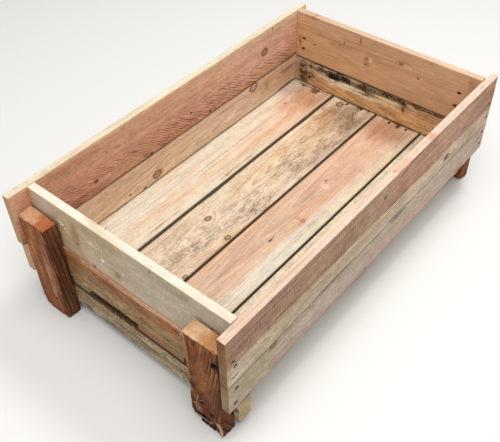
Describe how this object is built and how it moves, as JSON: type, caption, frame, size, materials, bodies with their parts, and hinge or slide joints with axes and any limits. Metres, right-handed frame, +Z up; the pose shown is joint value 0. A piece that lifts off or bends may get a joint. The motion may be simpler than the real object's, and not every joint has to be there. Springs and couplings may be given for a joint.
{
  "type": "raised planter on legs",
  "caption": "Shallow rectangular raised planter of reclaimed softwood boards on short legs, with a slatted floor that drains onto the ground.",
  "frame": {"origin": "on the ground under the middle of the planter's box", "axes": "+X along the planter from its left end to its right end, +Y across it from the front side to the back side, +Z up"},
  "size_m": [1.085, 0.626, 0.356],
  "materials": {
    "pink_board": "rough-sawn softwood, pinkish brown with planer ripples",
    "pale_board": "rough-sawn softwood, pale grey-tan, weathered",
    "red_board": "rough-sawn softwood, reddish brown with saw ripples",
    "tan_board": "planed softwood, tan with knots",
    "cream_board": "sapwood softwood, pale cream with fine straight grain",
    "stained_board": "softwood, tan with dark mould and bark stains",
    "bearer": "rough-sawn softwood, grey-beige, deeply striated",
    "leg": "weathered softwood, orange-brown with torn end grain",
    "screw": "dull, darkened"
  },
  "bodies": {
    "root": {"front_side_upper_board": "pink_board", "front_side_lower_board": "pale_board", "back_side_upper_board": "red_board", "back_side_lower_board": "tan_board", "left_end_upper_board": "cream_board", "left_end_lower_board": "red_board", "right_end_upper_board": "tan_board", "right_end_lower_board": "stained_board", "floor_board_1": "cream_board", "floor_board_2": "stained_board", "floor_board_3": "pink_board", "floor_board_4": "pale_board", "left_bearer": "bearer", "middle_bearer": "bearer", "right_bearer": "bearer", "front_left_leg": "leg", "back_left_leg": "leg", "front_right_leg": "leg", "back_right_leg": "leg", "front_left_side_screw_1": "screw", "front_left_side_screw_2": "screw", "front_left_side_screw_3": "screw", "front_left_side_screw_4": "screw", "front_left_end_screw_1": "screw", "front_left_end_screw_2": "screw", "front_left_end_screw_3": "screw", "front_left_end_screw_4": "screw", "front_left_foot_screw_1": "screw", "front_left_foot_screw_2": "screw", "back_left_side_screw_1": "screw", "back_left_side_screw_2": "screw", "back_left_side_screw_3": "screw", "back_left_side_screw_4": "screw", "back_left_end_screw_1": "screw", "back_left_end_screw_2": "screw", "back_left_end_screw_3": "screw", "back_left_end_screw_4": "screw", "back_left_foot_screw_1": "screw", "back_left_foot_screw_2": "screw", "front_right_side_screw_1": "screw", "front_right_side_screw_2": "screw", "front_right_side_screw_3": "screw", "front_right_side_screw_4": "screw", "front_right_end_screw_1": "screw", "front_right_end_screw_2": "screw", "front_right_end_screw_3": "screw", "front_right_end_screw_4": "screw", "front_right_foot_screw_1": "screw", "front_right_foot_screw_2": "screw", "back_right_side_screw_1": "screw", "back_right_side_screw_2": "screw", "back_right_side_screw_3": "screw", "back_right_side_screw_4": "screw", "back_right_end_screw_1": "screw", "back_right_end_screw_2": "screw", "back_right_end_screw_3": "screw", "back_right_end_screw_4": "screw", "back_right_foot_screw_1": "screw", "back_right_foot_screw_2": "screw"}
  },
  "joints": []
}
